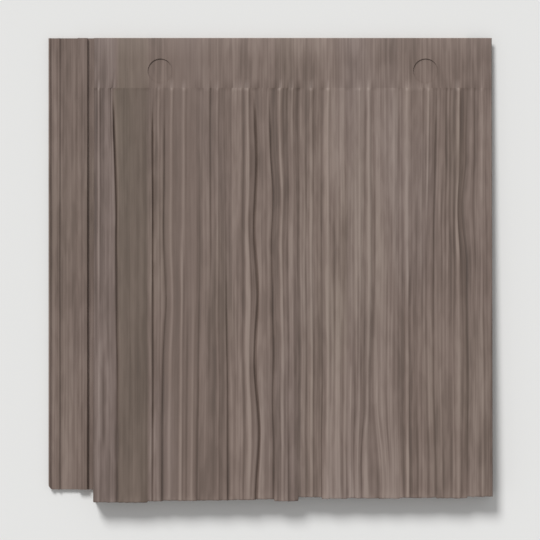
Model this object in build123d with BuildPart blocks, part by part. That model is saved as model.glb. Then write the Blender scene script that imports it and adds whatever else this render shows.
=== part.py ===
"""Synthetic shake roof shingle: one tapered, hollow-backed moulding with a guttered side wing.

X runs across the roof, +Y up the slope and +Z out of the roof. The underside lies on Z = 0. The origin is
the middle of the moulding's footprint, wing included. All sizes are in millimetres.
"""

from build123d import *
import os
from math import atan, degrees

# Face of the shingle
tab_width = 304.8
exposure = 304.8
head_lap = 50.8
butt_thickness = 15.9
head_thickness = 6.4

# Hollow back
skin = 4.2
side_wall = 3.0
butt_wall = 4.0
head_wall = 3.0
rib_thickness = 2.2
rib_pitch = 31.0

# Side wing, which drains the keyway between two shingles
keyway = 17.5
wing_lap = 17.5
wing_flange = 2.8
wing_setback = 9.5
wing_corner = 4.0
root_groove = 5.0
pad_width = 7.5
pad_height = 5.6
dam_width = 1.8
dam_height = 3.8
dam_spacing = 7.0
moulded_edge = 0.6

# Recess under the right edge, where the next shingle's wing lies
lap_clearance_side = 1.5
lap_clearance_end = 1.5
lap_clearance_top = 0.7

# Nail zone
nail_above_exposure = 25.4
nail_from_edge = 50.8
nail_target_diameter = 19.0
nail_target_depth = 0.8
nail_boss_diameter = 24.0

# Riven face: each strand is (share of the width where it ends, set-back of its butt, crown above the face)
face_overrun = 12.0
strand_valley = 0.5
crown_fade = 0.35
strands = [
    (0.058, 0.4, 0.2),
    (0.137, 0.0, 0.5),
    (0.180, 1.2, 0.9),
    (0.262, 1.6, 0.4),
    (0.338, 1.9, 0.7),
    (0.409, 2.2, 1.0),
    (0.449, 2.6, 0.3),
    (0.513, 1.3, 0.8),
    (0.575, 4.4, 0.4),
    (0.636, 3.1, 0.7),
    (0.705, 3.5, 1.0),
    (0.766, 3.2, 0.5),
    (0.857, 3.8, 0.8),
    (0.937, 3.5, 0.6),
    (1.000, 4.6, 0.3),
]

# Splits down the face: (width at the butt, depth, share of the face's length that it runs,
# then how far it wanders sideways at even steps from the butt to its tip)
split_runout = 1.5
splits = {
    0.058: (1.8, 1.3, 0.97, (0.6, 0.6, -0.2, -3.2)),
    0.150: (1.2, 0.9, 0.98, (-0.2, -0.3, -0.3, -0.8)),
    0.180: (2.2, 1.6, 0.99, (-1.0, -0.9, -0.6, 0.0)),
    0.262: (1.2, 0.9, 0.80, (-0.3, 0.1, 1.6, 1.4)),
    0.338: (1.3, 1.0, 0.60, (-0.1, -0.3, -0.9, -1.6)),
    0.409: (2.6, 1.9, 1.00, (0.3, 1.5, -1.1, 0.3, -1.5, -0.7, -1.0)),
    0.449: (2.2, 1.6, 0.98, (1.3, 0.7, 0.3, -0.1, 1.0, -0.6, -2.2)),
    0.575: (1.3, 1.0, 0.97, (-0.9, -0.1, -0.6, -0.2)),
    0.705: (1.4, 1.0, 0.84, (0.2, -0.9, 0.8, 0.0)),
    0.857: (1.8, 1.3, 0.96, (0.5, -1.1, -1.3, 1.2)),
    0.937: (2.2, 1.6, 0.99, (-0.6, 0.1, -0.9, 0.1)),
}

# Places worked out from the sizes above
length = exposure + head_lap
wing_width = keyway + wing_lap
x_right = (tab_width + wing_width) / 2
x_left = x_right - tab_width
x_wing = x_left - wing_width
y_butt = -length / 2
y_head = length / 2
y_face_end = y_butt + exposure + face_overrun
slope = (butt_thickness - head_thickness) / length
lap_width = wing_lap + lap_clearance_side
lap_height = dam_height + lap_clearance_top
y_wing = y_butt + wing_setback
y_lap = y_wing - lap_clearance_end


def face_height(y):
    """Height of the plain tapered face above the underside at one place up the slope."""
    return butt_thickness - slope * (y - y_butt)


def across(share):
    """X of a place given as a share of the tab's width from its left edge."""
    return x_left + share * tab_width


def strand_bounds():
    """Left share, right share, set-back and crown of each strand, from left to right."""
    left = 0.0
    for right, set_back, crown in strands:
        yield left, right, set_back, crown
        left = right


def face_line(y, relief):
    """Points of the face across the roof, with the strands' crowns and valleys times relief."""
    height = face_height(y)
    points = [(x_left, height - strand_valley * relief)]
    for left, right, _, crown in strand_bounds():
        points.append((across((left + right) / 2), height + crown * relief))
        points.append((across(right), height - strand_valley * relief))
    return points


# The tab: lofted from the riven butt to the smooth nail zone, then a plain wedge to the head
with BuildPart() as shingle:
    for y, relief in ((y_butt, 1.0), (y_face_end, crown_fade)):
        with BuildSketch(Plane.XZ.offset(-y)):
            with BuildLine():
                face = Spline(*face_line(y, relief))
                Polyline(face @ 1, (x_right, 0), (x_left, 0), face @ 0)
            make_face()
    loft(ruled=True)

    with BuildSketch(Plane.YZ.offset(x_left)):
        Polygon(
            (y_face_end, 0),
            (y_head, 0),
            (y_head, head_thickness),
            (y_face_end, face_height(y_face_end)),
            align=None,
        )
    extrude(amount=tab_width)

    # Uneven butt: each strand ends at its own set-back
    beyond = y_butt - butt_thickness
    with BuildSketch():
        with BuildLine():
            butt_points = [(x_left, beyond)]
            for left, right, set_back, _ in strand_bounds():
                butt_points.append((across(left), y_butt + set_back))
                butt_points.append((across(right), y_butt + set_back))
            butt_points.append((x_right, beyond))
            Polyline(*butt_points, close=True)
        make_face()
    extrude(amount=2 * butt_thickness, mode=Mode.SUBTRACT)

# Wavy splits, open at the butt and pointed at their tips, cut square to the face
face_plane = Plane(origin=(0, y_butt, butt_thickness), x_dir=(1, 0, 0), z_dir=(0, slope, 1))
highest_crown = max(crown for _, _, crown in strands)
with BuildPart() as split_cuts:
    for share, (width, depth, reach, wander) in splits.items():
        run = reach * (exposure + face_overrun)
        places = [run * step / (len(wander) - 1) for step in range(len(wander))]
        widths = [width * (1 - (place / run) ** 2) for place in places]
        middle = [across(share) + shift for shift in wander]
        left_bank = [(m - w / 2, p) for m, w, p in zip(middle, widths, places)]
        right_bank = [(m + w / 2, p) for m, w, p in zip(middle, widths, places)]
        with BuildSketch(face_plane.offset(-depth)):
            with BuildLine():
                Spline(*left_bank)
                Spline(*right_bank)
                Polyline(
                    left_bank[0],
                    (left_bank[0][0], -split_runout),
                    (right_bank[0][0], -split_runout),
                    right_bank[0],
                )
            make_face()
        extrude(amount=depth + highest_crown)

# Hollow back: pockets between ribs that follow the taper, with solid bosses under the nail targets
y_hollow = y_butt + max(set_back for _, set_back, _ in strands) + butt_wall
y_hollow_end = y_head - head_wall
x_register = x_right - lap_width
main_width = x_register - side_wall - (x_left + side_wall)
hollow_length = y_hollow_end - y_hollow
columns = round(main_width / rib_pitch)
rows = round(hollow_length / rib_pitch)
x_lap_rib = x_register + (lap_width - side_wall) / 2
y_nail = y_butt + exposure + nail_above_exposure
nail_places = [(x_left + nail_from_edge, y_nail), (x_right - nail_from_edge, y_nail)]

with BuildPart() as hollow:
    with BuildSketch(Plane.YZ.offset(x_left + side_wall)):
        Polygon(
            (y_hollow, 0),
            (y_hollow_end, 0),
            (y_hollow_end, face_height(y_hollow_end) - skin),
            (y_hollow, face_height(y_hollow) - skin),
            align=None,
        )
    extrude(amount=tab_width - 2 * side_wall)

    with BuildSketch():
        for column in range(1, columns):
            with Locations((x_left + side_wall + column * main_width / columns, 0)):
                Rectangle(rib_thickness, length)
        for row in range(1, rows):
            with Locations((0, y_hollow + row * hollow_length / rows)):
                Rectangle(2 * tab_width, rib_thickness)
        with Locations((x_register - side_wall / 2, 0)):
            Rectangle(side_wall, length)
        with Locations((x_lap_rib, 0)):
            Rectangle(rib_thickness, length)
        with Locations(*nail_places):
            Circle(nail_boss_diameter / 2)
    extrude(amount=butt_thickness, mode=Mode.SUBTRACT)

# Lap recess under the right edge, closed at the butt and open at the side and the head
with BuildPart() as lap_recess:
    with BuildSketch():
        with Locations((x_register, y_lap)):
            Rectangle(2 * lap_width, 2 * length, align=(Align.MIN, Align.MIN))
    extrude(amount=lap_height)

# Shallow nail targets in the smooth head lap
with BuildPart() as nail_targets:
    nail_plane = Plane(origin=(0, y_nail, face_height(y_nail)), x_dir=(1, 0, 0), z_dir=(0, slope, 1))
    with BuildSketch(nail_plane):
        with Locations(*[(x, 0) for x, _ in nail_places]):
            Circle(nail_target_diameter / 2)
    extrude(amount=nail_target_depth, both=True)

# Side wing: one drained section, drawn across the roof and run up the slope
with BuildPart() as wing:
    with BuildSketch(Plane.XZ.offset(-y_wing)):
        with Locations(((x_wing + x_left) / 2, wing_flange / 2)):
            Rectangle(wing_width, wing_flange)
        with Locations((x_left - root_groove - pad_width / 2, pad_height / 2)):
            Rectangle(pad_width, pad_height)
        outer_dam = x_wing + dam_width / 2
        with Locations((outer_dam, dam_height / 2), (outer_dam + dam_spacing, dam_height / 2)):
            Rectangle(dam_width, dam_height)
        crests = [v for v in vertices() if v.Z > wing_flange + moulded_edge]
        fillet(crests, radius=moulded_edge)
    extrude(amount=-(y_head - y_wing))
    outer_corner = edges().filter_by(Axis.Z).group_by(Axis.X)[0].sort_by(Axis.Y)[0]
    fillet(outer_corner, radius=wing_corner)

with shingle:
    add([split_cuts.part, hollow.part, lap_recess.part, nail_targets.part], mode=Mode.SUBTRACT)
    add(wing.part)

shingle.part.label = "shingle"
os.makedirs("parts", exist_ok=True)
export_step(shingle.part, "parts/shingle.step")
print("taper", round(degrees(atan(slope)), 3), "degrees; volume", round(shingle.part.volume), "mm3")
print("solids", len(shingle.part.solids()), "valid", shingle.part.is_valid)
print("box", shingle.part.bounding_box())
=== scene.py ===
"""A synthetic shake roof shingle: riven face, guttered side wing and ribbed back, as one moulding.

Sizes are in millimetres, in the part's own frame: X across the roof, Y up the slope, Z out of the roof.
Meshes are written in metres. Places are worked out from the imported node's box.
"""

from __future__ import annotations

import logging
from dataclasses import dataclass
from enum import Enum

import bmesh
import bpy
import numpy as np
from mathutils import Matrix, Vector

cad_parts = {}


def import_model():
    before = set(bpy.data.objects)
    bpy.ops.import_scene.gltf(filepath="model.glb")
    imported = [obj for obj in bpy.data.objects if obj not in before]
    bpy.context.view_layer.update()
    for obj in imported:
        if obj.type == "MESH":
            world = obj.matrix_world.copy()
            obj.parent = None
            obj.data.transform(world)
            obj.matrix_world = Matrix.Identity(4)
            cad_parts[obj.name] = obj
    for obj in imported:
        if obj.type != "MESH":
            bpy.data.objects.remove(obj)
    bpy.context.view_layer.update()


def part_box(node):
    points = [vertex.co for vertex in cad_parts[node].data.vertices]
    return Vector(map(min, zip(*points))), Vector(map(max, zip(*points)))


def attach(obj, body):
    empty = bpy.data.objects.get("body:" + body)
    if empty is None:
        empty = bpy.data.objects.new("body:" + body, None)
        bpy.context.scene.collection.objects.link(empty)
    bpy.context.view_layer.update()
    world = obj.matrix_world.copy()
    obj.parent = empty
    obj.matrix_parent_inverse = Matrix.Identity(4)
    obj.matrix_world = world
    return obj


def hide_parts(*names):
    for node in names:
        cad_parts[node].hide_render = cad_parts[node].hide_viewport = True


Pair = tuple[float, float]
Triple = tuple[float, float, float]
Material = bpy.types.Material
MeshObject = bpy.types.Object
Socket = bpy.types.NodeSocket

MM = 0.001
NODE = "shingle"
BODY = "root"
LEAN = "lean"
COMB = "comb"
TONE = "tone"
TINT = "tint"
CALM = "calm"
LATTICE_SIZE = 512
NOISE_MIDDLE = 0.5
log = logging.getLogger("shingle")


class Operation(Enum):
    """How one closed mesh changes another."""

    CUT = "DIFFERENCE"
    JOIN = "UNION"


@dataclass(frozen=True)
class Strand:
    """One riven strand: where it ends across the tab, how it stands, how light it is, its tint and its calm.

    A tint of 1 is lavender and a tint of -1 is olive. A strand with a calm of 1 would have no fine grain.
    """

    ends_at: float
    set_back: float
    crown: float
    tilt: float
    tone: float
    tint: float = 0.0
    calm: float = 0.0


@dataclass(frozen=True)
class Split:
    """One dark split: its wander at even steps from butt to tip, and its strength at the butt and the tip."""

    share: float
    width: float
    depth: float
    reach: float
    wander: tuple[float, ...]
    strength: Pair = (1.0, 1.0)


@dataclass(frozen=True)
class Line:
    """One long line of the grain: a light ridge where it rises, a furrow where it sinks."""

    share: float
    width: float
    rise: float
    start: float = 0.0
    end: float = 1.0


@dataclass(frozen=True)
class Ripple:
    """Smooth unevenness: its greatest height, how far apart its lumps are in each direction, and its seed."""

    height: float
    cell: Pair
    seed: int

    def at(self, u: np.ndarray, v: np.ndarray) -> np.ndarray:
        """Returns its height at each place."""
        return self.height * lattice_noise(u / self.cell[0], v / self.cell[1], self.seed)


@dataclass(frozen=True)
class ShingleSizes:
    """The moulding's sizes in millimetres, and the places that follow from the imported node's box."""

    low: np.ndarray
    high: np.ndarray
    tab_width: float = 304.8
    exposure: float = 304.8
    butt_thickness: float = 15.9
    head_thickness: float = 6.4
    face_overrun: float = 12.0
    skin: float = 4.2
    side_wall: float = 3.0
    butt_wall: float = 4.0
    head_wall: float = 3.0
    rib_thickness: float = 2.2
    rib_pitch: float = 31.0
    lap_columns: int = 2
    wing_flange: float = 2.8
    wing_setback: float = 9.5
    wing_corner: float = 4.0
    root_groove: float = 5.0
    pad_width: float = 7.5
    pad_height: float = 5.6
    dam_width: float = 1.8
    dam_height: float = 3.8
    dam_spacing: float = 7.0
    lap_width: float = 19.0
    lap_height: float = 4.5
    lap_setback: float = 8.0
    nail_above_exposure: float = 25.4
    nail_from_edge: float = 50.8
    nail_target_diameter: float = 19.0
    nail_target_depth: float = 0.8
    nail_boss_diameter: float = 24.0

    @property
    def right(self) -> float:
        """X of the tab's right edge."""
        return float(self.high[0])

    @property
    def left(self) -> float:
        """X of the tab's left edge, where the wing starts."""
        return self.right - self.tab_width

    @property
    def butt(self) -> float:
        """Y of the longest strand's butt."""
        return float(self.low[1])

    @property
    def head(self) -> float:
        """Y of the head edge."""
        return float(self.high[1])

    @property
    def length(self) -> float:
        """Butt to head."""
        return self.head - self.butt

    @property
    def face_length(self) -> float:
        """Butt to the end of the grained face."""
        return self.exposure + self.face_overrun

    @property
    def slope(self) -> float:
        """Fall of the face for each millimetre up the slope."""
        return (self.butt_thickness - self.head_thickness) / self.length

    def height(self, y: np.ndarray | float) -> np.ndarray | float:
        """Height of the plain tapered face above the underside, at a place up the slope."""
        return self.butt_thickness - self.slope * (y - self.butt)


def lattice_noise(u: np.ndarray, v: np.ndarray, seed: int) -> np.ndarray:
    """Smooth noise with one random value at each whole step of u and v.

    Args:
        u: Place across, in lattice steps.
        v: Place along, in lattice steps.
        seed: Which noise it is.

    Returns:
        Values from -1 to 1, in the shape of u and v together.
    """
    size = LATTICE_SIZE
    table = np.random.default_rng(seed).uniform(-1.0, 1.0, (size, size))
    u, v = np.broadcast_arrays(u, v)
    iu, iv = np.floor(u).astype(int), np.floor(v).astype(int)
    fu, fv = u - iu, v - iv
    fu, fv = fu * fu * (3 - 2 * fu), fv * fv * (3 - 2 * fv)
    iu0, iv0, iu1, iv1 = iu % size, iv % size, (iu + 1) % size, (iv + 1) % size
    near = table[iu0, iv0] * (1 - fu) + table[iu1, iv0] * fu
    far = table[iu0, iv1] * (1 - fu) + table[iu1, iv1] * fu
    return near * (1 - fv) + far * fv


def smooth_step(value: np.ndarray, start: float, end: float) -> np.ndarray:
    """Returns 0 before start, 1 after end and a smooth rise between them."""
    share = np.clip((value - start) / (end - start), 0.0, 1.0)
    return share * share * (3 - 2 * share)


def new_object(name: str, vertices: np.ndarray, faces: list, material: Material | None) -> MeshObject:
    """Makes a mesh object from millimetre corners.

    Args:
        name: The object's name.
        vertices: Corners in millimetres, one row each.
        faces: Corner numbers of each face.
        material: What the faces are made of, or None.

    Returns:
        The object, linked to the scene.
    """
    mesh = bpy.data.meshes.new(name)
    mesh.from_pydata((np.asarray(vertices, float) * MM).tolist(), [], faces)
    if material is not None:
        mesh.materials.append(material)
    mesh.update()
    made = bpy.data.objects.new(name, mesh)
    bpy.context.scene.collection.objects.link(made)
    return made


def apply_modifiers(target: MeshObject) -> None:
    """Turns an object's modifiers into its own mesh and removes them.

    Args:
        target: The object to settle.
    """
    graph = bpy.context.evaluated_depsgraph_get()
    settled = bpy.data.meshes.new_from_object(target.evaluated_get(graph))
    target.modifiers.clear()
    old = target.data
    target.data = settled
    bpy.data.meshes.remove(old)


def combine(body: MeshObject, other: MeshObject, operation: Operation) -> None:
    """Cuts one closed mesh out of another, or joins the two, and deletes the second.

    Args:
        body: The mesh that is changed.
        other: The mesh that changes it.
        operation: Cut or join.
    """
    step = body.modifiers.new(operation.name.lower(), "BOOLEAN")
    step.operation = operation.value
    step.solver = "MANIFOLD"
    step.material_mode = "TRANSFER"
    step.object = other
    apply_modifiers(body)
    mesh = other.data
    bpy.data.objects.remove(other)
    bpy.data.meshes.remove(mesh)


class NodeBuilder:
    """Short calls for adding nodes to any tree."""

    def __init__(self, tree: bpy.types.NodeTree) -> None:
        """Takes the tree that the nodes go into."""
        self.tree = tree

    def node(self, kind: str, links: dict | None = None, **settings: object) -> bpy.types.Node:
        """Adds a node.

        Args:
            kind: The node's type.
            links: For each input, by name or number, a socket to link or a value to set.
            settings: The node's own settings.

        Returns:
            The node.
        """
        made = self.tree.nodes.new(kind)
        for key, value in settings.items():
            setattr(made, key, value)
        for key, value in (links or {}).items():
            if isinstance(value, Socket):
                self.tree.links.new(value, made.inputs[key])
            else:
                made.inputs[key].default_value = value
        return made

    def maths(self, operation: str, first: object, second: object = 0.0, third: object = 0.0) -> Socket:
        """Adds a Math node and returns its result."""
        links = {0: first, 1: second, 2: third}
        return self.node("ShaderNodeMath", links, operation=operation).outputs[0]


class TreeBuilder(NodeBuilder):
    """A Geometry Nodes tree with named inputs."""

    def __init__(self, name: str) -> None:
        """Starts a tree that takes and gives a geometry.

        Args:
            name: The tree's name.
        """
        super().__init__(bpy.data.node_groups.new(name, "GeometryNodeTree"))
        self.tree.interface.new_socket("Geometry", in_out="INPUT", socket_type="NodeSocketGeometry")
        self.tree.interface.new_socket("Geometry", in_out="OUTPUT", socket_type="NodeSocketGeometry")
        self.inputs = self.tree.nodes.new("NodeGroupInput")
        self.outputs = self.tree.nodes.new("NodeGroupOutput")

    def add_input(self, name: str, kind: str) -> Socket:
        """Adds a named input and returns its socket inside the tree."""
        self.tree.interface.new_socket(name, in_out="INPUT", socket_type=f"NodeSocket{kind}")
        return self.inputs.outputs[name]

    def add_inputs(self, kind: str, *names: str) -> list[Socket]:
        """Adds several named inputs of one kind and returns their sockets inside the tree."""
        return [self.add_input(name, kind) for name in names]

    def place(self) -> bpy.types.bpy_prop_collection:
        """Returns the X, Y and Z of each point."""
        position = self.node("GeometryNodeInputPosition").outputs[0]
        return self.node("ShaderNodeSeparateXYZ", {0: position}).outputs

    def shifted(self, geometry: Socket, shifts: dict[str, Socket]) -> Socket:
        """Moves each point of a geometry by its own shifts along X, Y and Z."""
        offset = self.node("ShaderNodeCombineXYZ", shifts).outputs[0]
        return self.node("GeometryNodeSetPosition", {"Geometry": geometry, "Offset": offset}).outputs[0]

    def finish(self, geometry: Socket, material: Socket, selection: Socket | bool = True) -> None:
        """Ends the tree in Realize Instances and Set Material.

        Args:
            geometry: What the tree has made.
            material: What the selected faces are finished with.
            selection: Which faces get the material.
        """
        realized = self.node("GeometryNodeRealizeInstances", {0: geometry})
        settings = {"Geometry": realized.outputs[0], "Selection": selection, "Material": material}
        painted = self.node("GeometryNodeSetMaterial", settings)
        self.tree.links.new(painted.outputs[0], self.outputs.inputs[0])

    def use_on(self, target: MeshObject, values: dict[str, object]) -> None:
        """Puts the tree on an object, sets its inputs and settles the result.

        Args:
            target: The object that gets the tree.
            values: The value of each named input.
        """
        step = target.modifiers.new(self.tree.name, "NODES")
        step.node_group = self.tree
        for item in self.tree.interface.items_tree:
            if item.in_out == "INPUT" and item.name in values:
                step[item.identifier] = values[item.name]
        target.update_tag()
        apply_modifiers(target)


@dataclass
class CombedGrain:
    """Fine combed ridges, pressed into whatever carries the comb number and following the grain's lean."""

    furrow_spacing: float = 1.9
    furrow_run: float = 130.0
    furrow_depth: float = 0.12
    crest_spacing: float = 4.6
    crest_run: float = 260.0
    crest_height: float = 0.10
    sharpness: float = 7.0
    noise_scale: float = 0.5
    noise_detail: float = 1.0
    noise_roughness: float = 0.4
    seed: int = 11

    def __post_init__(self) -> None:
        """Builds the tree once, for every surface that takes the grain."""
        tree = TreeBuilder("CombedGrain")
        seed = tree.add_input("Seed", "Float")
        place = tree.place()
        across = tree.maths("SUBTRACT", place["X"], self._number(tree, LEAN))
        along = place["Y"]
        furrows = self._marks(tree, "Furrow", across, along, seed)
        crests = self._marks(tree, "Crest", across, along, seed)
        sunk = tree.maths("MULTIPLY", furrows, tree.add_input("Furrow depth", "Float"))
        beside = tree.maths("SUBTRACT", 1.0, crests)
        beside = tree.maths("MULTIPLY", beside, tree.add_input("Crest height", "Float"))
        comb = self._number(tree, COMB)
        masked = tree.maths("MULTIPLY", tree.maths("ADD", sunk, beside), comb)
        down = {"Z": tree.maths("MULTIPLY", masked, -1.0)}
        pressed = tree.shifted(tree.inputs.outputs["Geometry"], down)
        combed = tree.maths("GREATER_THAN", comb, 0.0)
        tree.finish(pressed, tree.add_input("Material", "Material"), combed)
        self.tree = tree

    @staticmethod
    def _number(tree: TreeBuilder, name: str) -> Socket:
        """Reads a number kept on the mesh's points."""
        return tree.node("GeometryNodeInputNamedAttribute", {"Name": name}, data_type="FLOAT").outputs[0]

    def _marks(self, tree: TreeBuilder, kind: str, across: Socket, along: Socket, seed: Socket) -> Socket:
        """Narrow marks drawn out along the grain, with their spacing and run as named inputs.

        Args:
            tree: The tree that they are added to.
            kind: Furrow or crest, for the inputs' names.
            across: Place across the grain.
            along: Place along the grain.
            seed: Which noise they come from.

        Returns:
            1 in the middle of a mark and 0 between marks.
        """
        columns = tree.maths("DIVIDE", across, tree.add_input(f"{kind} spacing", "Float"))
        rows = tree.maths("DIVIDE", along, tree.add_input(f"{kind} run", "Float"))
        place = tree.node("ShaderNodeCombineXYZ", {"X": columns, "Y": rows, "Z": seed})
        settings = {
            "Vector": place.outputs[0],
            "Scale": self.noise_scale,
            "Detail": self.noise_detail,
            "Roughness": self.noise_roughness,
        }
        noise = tree.node("ShaderNodeTexNoise", settings, noise_dimensions="3D")
        away = tree.maths("ABSOLUTE", tree.maths("SUBTRACT", noise.outputs[0], NOISE_MIDDLE))
        slope = tree.maths("MULTIPLY", away, self.sharpness)
        return tree.maths("MAXIMUM", tree.maths("SUBTRACT", 1.0, slope), 0.0)

    def press(self, target: MeshObject, material: Material) -> None:
        """Presses the grain into a mesh and settles it.

        Args:
            target: A mesh with the lean and comb numbers.
            material: What the combed faces are finished with.
        """
        values = {
            "Seed": float(self.seed),
            "Furrow spacing": self.furrow_spacing * MM,
            "Furrow run": self.furrow_run * MM,
            "Furrow depth": self.furrow_depth * MM,
            "Crest spacing": self.crest_spacing * MM,
            "Crest run": self.crest_run * MM,
            "Crest height": self.crest_height * MM,
            "Material": material,
        }
        self.tree.use_on(target, values)


@dataclass(frozen=True)
class RivenGrain:
    """The layout of the face: its strands, splits, ridges and furrows, read from left to right.

    Shares across are of the tab's width and shares along are of the face's length.
    """

    width: float
    length: float
    valley: float = 0.45
    crown_fade: float = 0.35
    crown_power: float = 0.7
    crest_limit: float = 0.86
    swell: Ripple = Ripple(0.14, (11.0, 120.0), 5)
    wave: Ripple = Ripple(0.35, (30.0, 48.0), 13)
    straight_edge: float = 9.0
    straighter_at: Pair = (0.35, 0.65)
    straighter_by: float = 0.35
    ease_columns: int = 7
    nibbles: tuple[Ripple, ...] = (Ripple(0.30, (2.3, 1.0), 8), Ripple(0.30, (7.0, 1.0), 9))
    strip_widths: Pair = (2.0, 7.0)
    strip_seed: int = 5
    strip_level: float = 0.18
    strip_changes: tuple[Ripple, ...] = (Ripple(0.75, (1.0, 280.0), 14), Ripple(0.45, (1.0, 70.0), 15))
    line_ease: Pair = (0.08, 0.04)
    line_strength: float = 0.9
    line_change: Ripple = Ripple(0.3, (1.0, 24.0), 10)
    line_rows: float = 170.0
    split_tip: float = 0.10
    split_strength_at: Pair = (0.15, 0.85)
    split_swell: Ripple = Ripple(0.22, (1.0, 22.0), 7)
    split_rows: float = 90.0
    split_tip_width: float = 0.6
    split_edge: float = 1.1
    flame_share: float = 0.700
    flame_apex: float = 80.0
    flame_open: float = 24.0
    flame_width: float = 12.0
    flame_core: float = 2.2
    flame_push: float = 3.6
    strands: tuple[Strand, ...] = (
        Strand(0.058, 0.4, 0.20, 0.20, -0.45, 0.9),
        Strand(0.137, 0.1, 0.30, -0.10, -0.85, -0.9, 0.45),
        Strand(0.180, 1.2, 0.60, 0.20, -0.30),
        Strand(0.262, 1.6, 0.40, -0.15, -0.05, 0.0, 0.60),
        Strand(0.338, 1.9, 0.50, 0.10, -0.35, 0.0, 0.25),
        Strand(0.409, 2.2, 0.60, 0.25, 0.45),
        Strand(0.449, 2.6, 0.30, -0.15, 0.00),
        Strand(0.513, 1.3, 0.50, -0.15, -0.20),
        Strand(0.575, 4.4, 0.40, 0.25, 0.10, -0.2),
        Strand(0.636, 3.1, 0.45, -0.15, 0.55),
        Strand(0.705, 3.5, 0.60, 0.15, 0.40, 0.3),
        Strand(0.766, 3.2, 0.40, -0.15, 0.60, 0.2),
        Strand(0.857, 3.8, 0.55, 0.15, 0.00),
        Strand(0.937, 3.5, 0.50, 0.15, -0.35),
        Strand(1.000, 4.6, 0.30, -0.15, -0.10, 0.2),
    )
    splits: tuple[Split, ...] = (
        Split(0.058, 1.9, 1.0, 1.00, (0.6, 0.6, -0.2, -3.2), (0.5, 1.5)),
        Split(0.150, 1.8, 1.2, 0.98, (-0.2, -0.3, -0.3, -0.8), (0.8, 0.9)),
        Split(0.180, 1.8, 0.5, 0.99, (-1.8, -2.0, -1.6, 0.9, -0.9, -0.4, 0.2), (0.9, 0.9)),
        Split(0.262, 1.2, 0.5, 0.80, (-0.3, 0.1, 1.6, 1.4), (0.7, 0.7)),
        Split(0.338, 1.3, 0.8, 0.60, (-0.1, -0.3, -0.9, -1.6), (1.0, 0.5)),
        Split(0.409, 2.6, 1.2, 1.00, (-0.6, 1.9, -1.6, 1.2, -2.2, -0.2, -1.6), (1.0, 0.9)),
        Split(0.449, 2.0, 0.8, 0.98, (1.0, 1.3, 0.2, 1.1, 0.3, -0.4, 0.6, -1.2, -2.0), (0.5, 1.0)),
        Split(0.575, 1.3, 0.3, 0.97, (-0.9, -0.1, -0.6, -0.2), (0.4, 0.4)),
        Split(0.705, 1.4, 0.2, 0.84, (0.2, -0.9, 0.8, 0.0), (1.0, 0.5)),
        Split(0.857, 1.6, 0.5, 0.96, (0.5, -1.1, -1.3, 1.2), (0.4, 1.0)),
        Split(0.937, 1.9, 0.4, 0.99, (0.0, 0.1, 0.8, 0.3, -0.3, -4.0, -0.3, 0.3), (0.8, 0.6)),
    )
    lines: tuple[Line, ...] = (
        Line(0.014, 3.4, 0.40),
        Line(0.014, 3.6, 0.80, 0.50, 1.0),
        Line(0.026, 3.4, -1.00, 0.16, 0.34),
        Line(0.038, 2.2, -0.40, 0.36, 0.80),
        Line(0.049, 2.4, -0.50, 0.83, 1.0),
        Line(0.164, 3.0, 0.35),
        Line(0.196, 3.6, 0.60),
        Line(0.221, 3.6, 0.90, 0.0, 0.60),
        Line(0.226, 4.6, 0.60, 0.60, 1.0),
        Line(0.236, 2.4, -0.25, 0.0, 0.40),
        Line(0.249, 3.0, 0.40, 0.0, 0.45),
        Line(0.258, 2.4, -0.30, 0.50, 0.72),
        Line(0.294, 2.2, -0.60, 0.60, 1.0),
        Line(0.312, 3.4, 0.60),
        Line(0.355, 2.4, -0.35, 0.0, 0.50),
        Line(0.371, 3.6, 0.40),
        Line(0.387, 6.0, 1.20),
        Line(0.472, 4.0, 0.85),
        Line(0.489, 2.0, -0.40),
        Line(0.501, 3.0, 0.35),
        Line(0.516, 2.6, -0.45, 0.20, 1.0),
        Line(0.534, 2.4, -0.45, 0.0, 0.85),
        Line(0.547, 4.2, 0.95),
        Line(0.589, 3.4, 0.60),
        Line(0.606, 2.2, -0.50, 0.20, 0.65),
        Line(0.625, 5.0, -0.60, 0.0, 0.45),
        Line(0.646, 1.8, 0.45, 0.0, 0.28),
        Line(0.657, 1.8, -0.45, 0.0, 0.30),
        Line(0.661, 3.0, 0.45, 0.32, 0.55),
        Line(0.668, 2.0, 0.45),
        Line(0.681, 1.8, -0.45, 0.0, 0.55),
        Line(0.691, 3.8, 1.05),
        Line(0.714, 1.8, 0.45, 0.0, 0.28),
        Line(0.737, 2.2, -0.45, 0.15, 0.55),
        Line(0.755, 3.0, 0.40, 0.60, 0.95),
        Line(0.766, 2.0, -0.45, 0.55, 1.0),
        Line(0.786, 4.6, 0.80),
        Line(0.786, 4.6, 0.80, 0.0, 0.55),
        Line(0.812, 2.4, -0.35, 0.0, 0.70),
        Line(0.827, 2.0, -0.35, 0.40, 1.0),
        Line(0.839, 4.6, -0.60, 0.0, 0.60),
        Line(0.838, 2.4, 0.70, 0.75, 1.0),
        Line(0.876, 2.0, -0.40, 0.0, 0.75),
        Line(0.887, 3.4, -0.50, 0.65, 1.0),
        Line(0.896, 3.0, -0.40),
        Line(0.916, 4.2, 0.60),
        Line(0.914, 4.8, 1.20, 0.60, 1.0),
        Line(0.957, 2.0, -0.35, 0.25, 1.0),
        Line(0.975, 3.4, 0.55),
        Line(0.984, 8.0, 0.40, 0.0, 0.30),
    )

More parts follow.
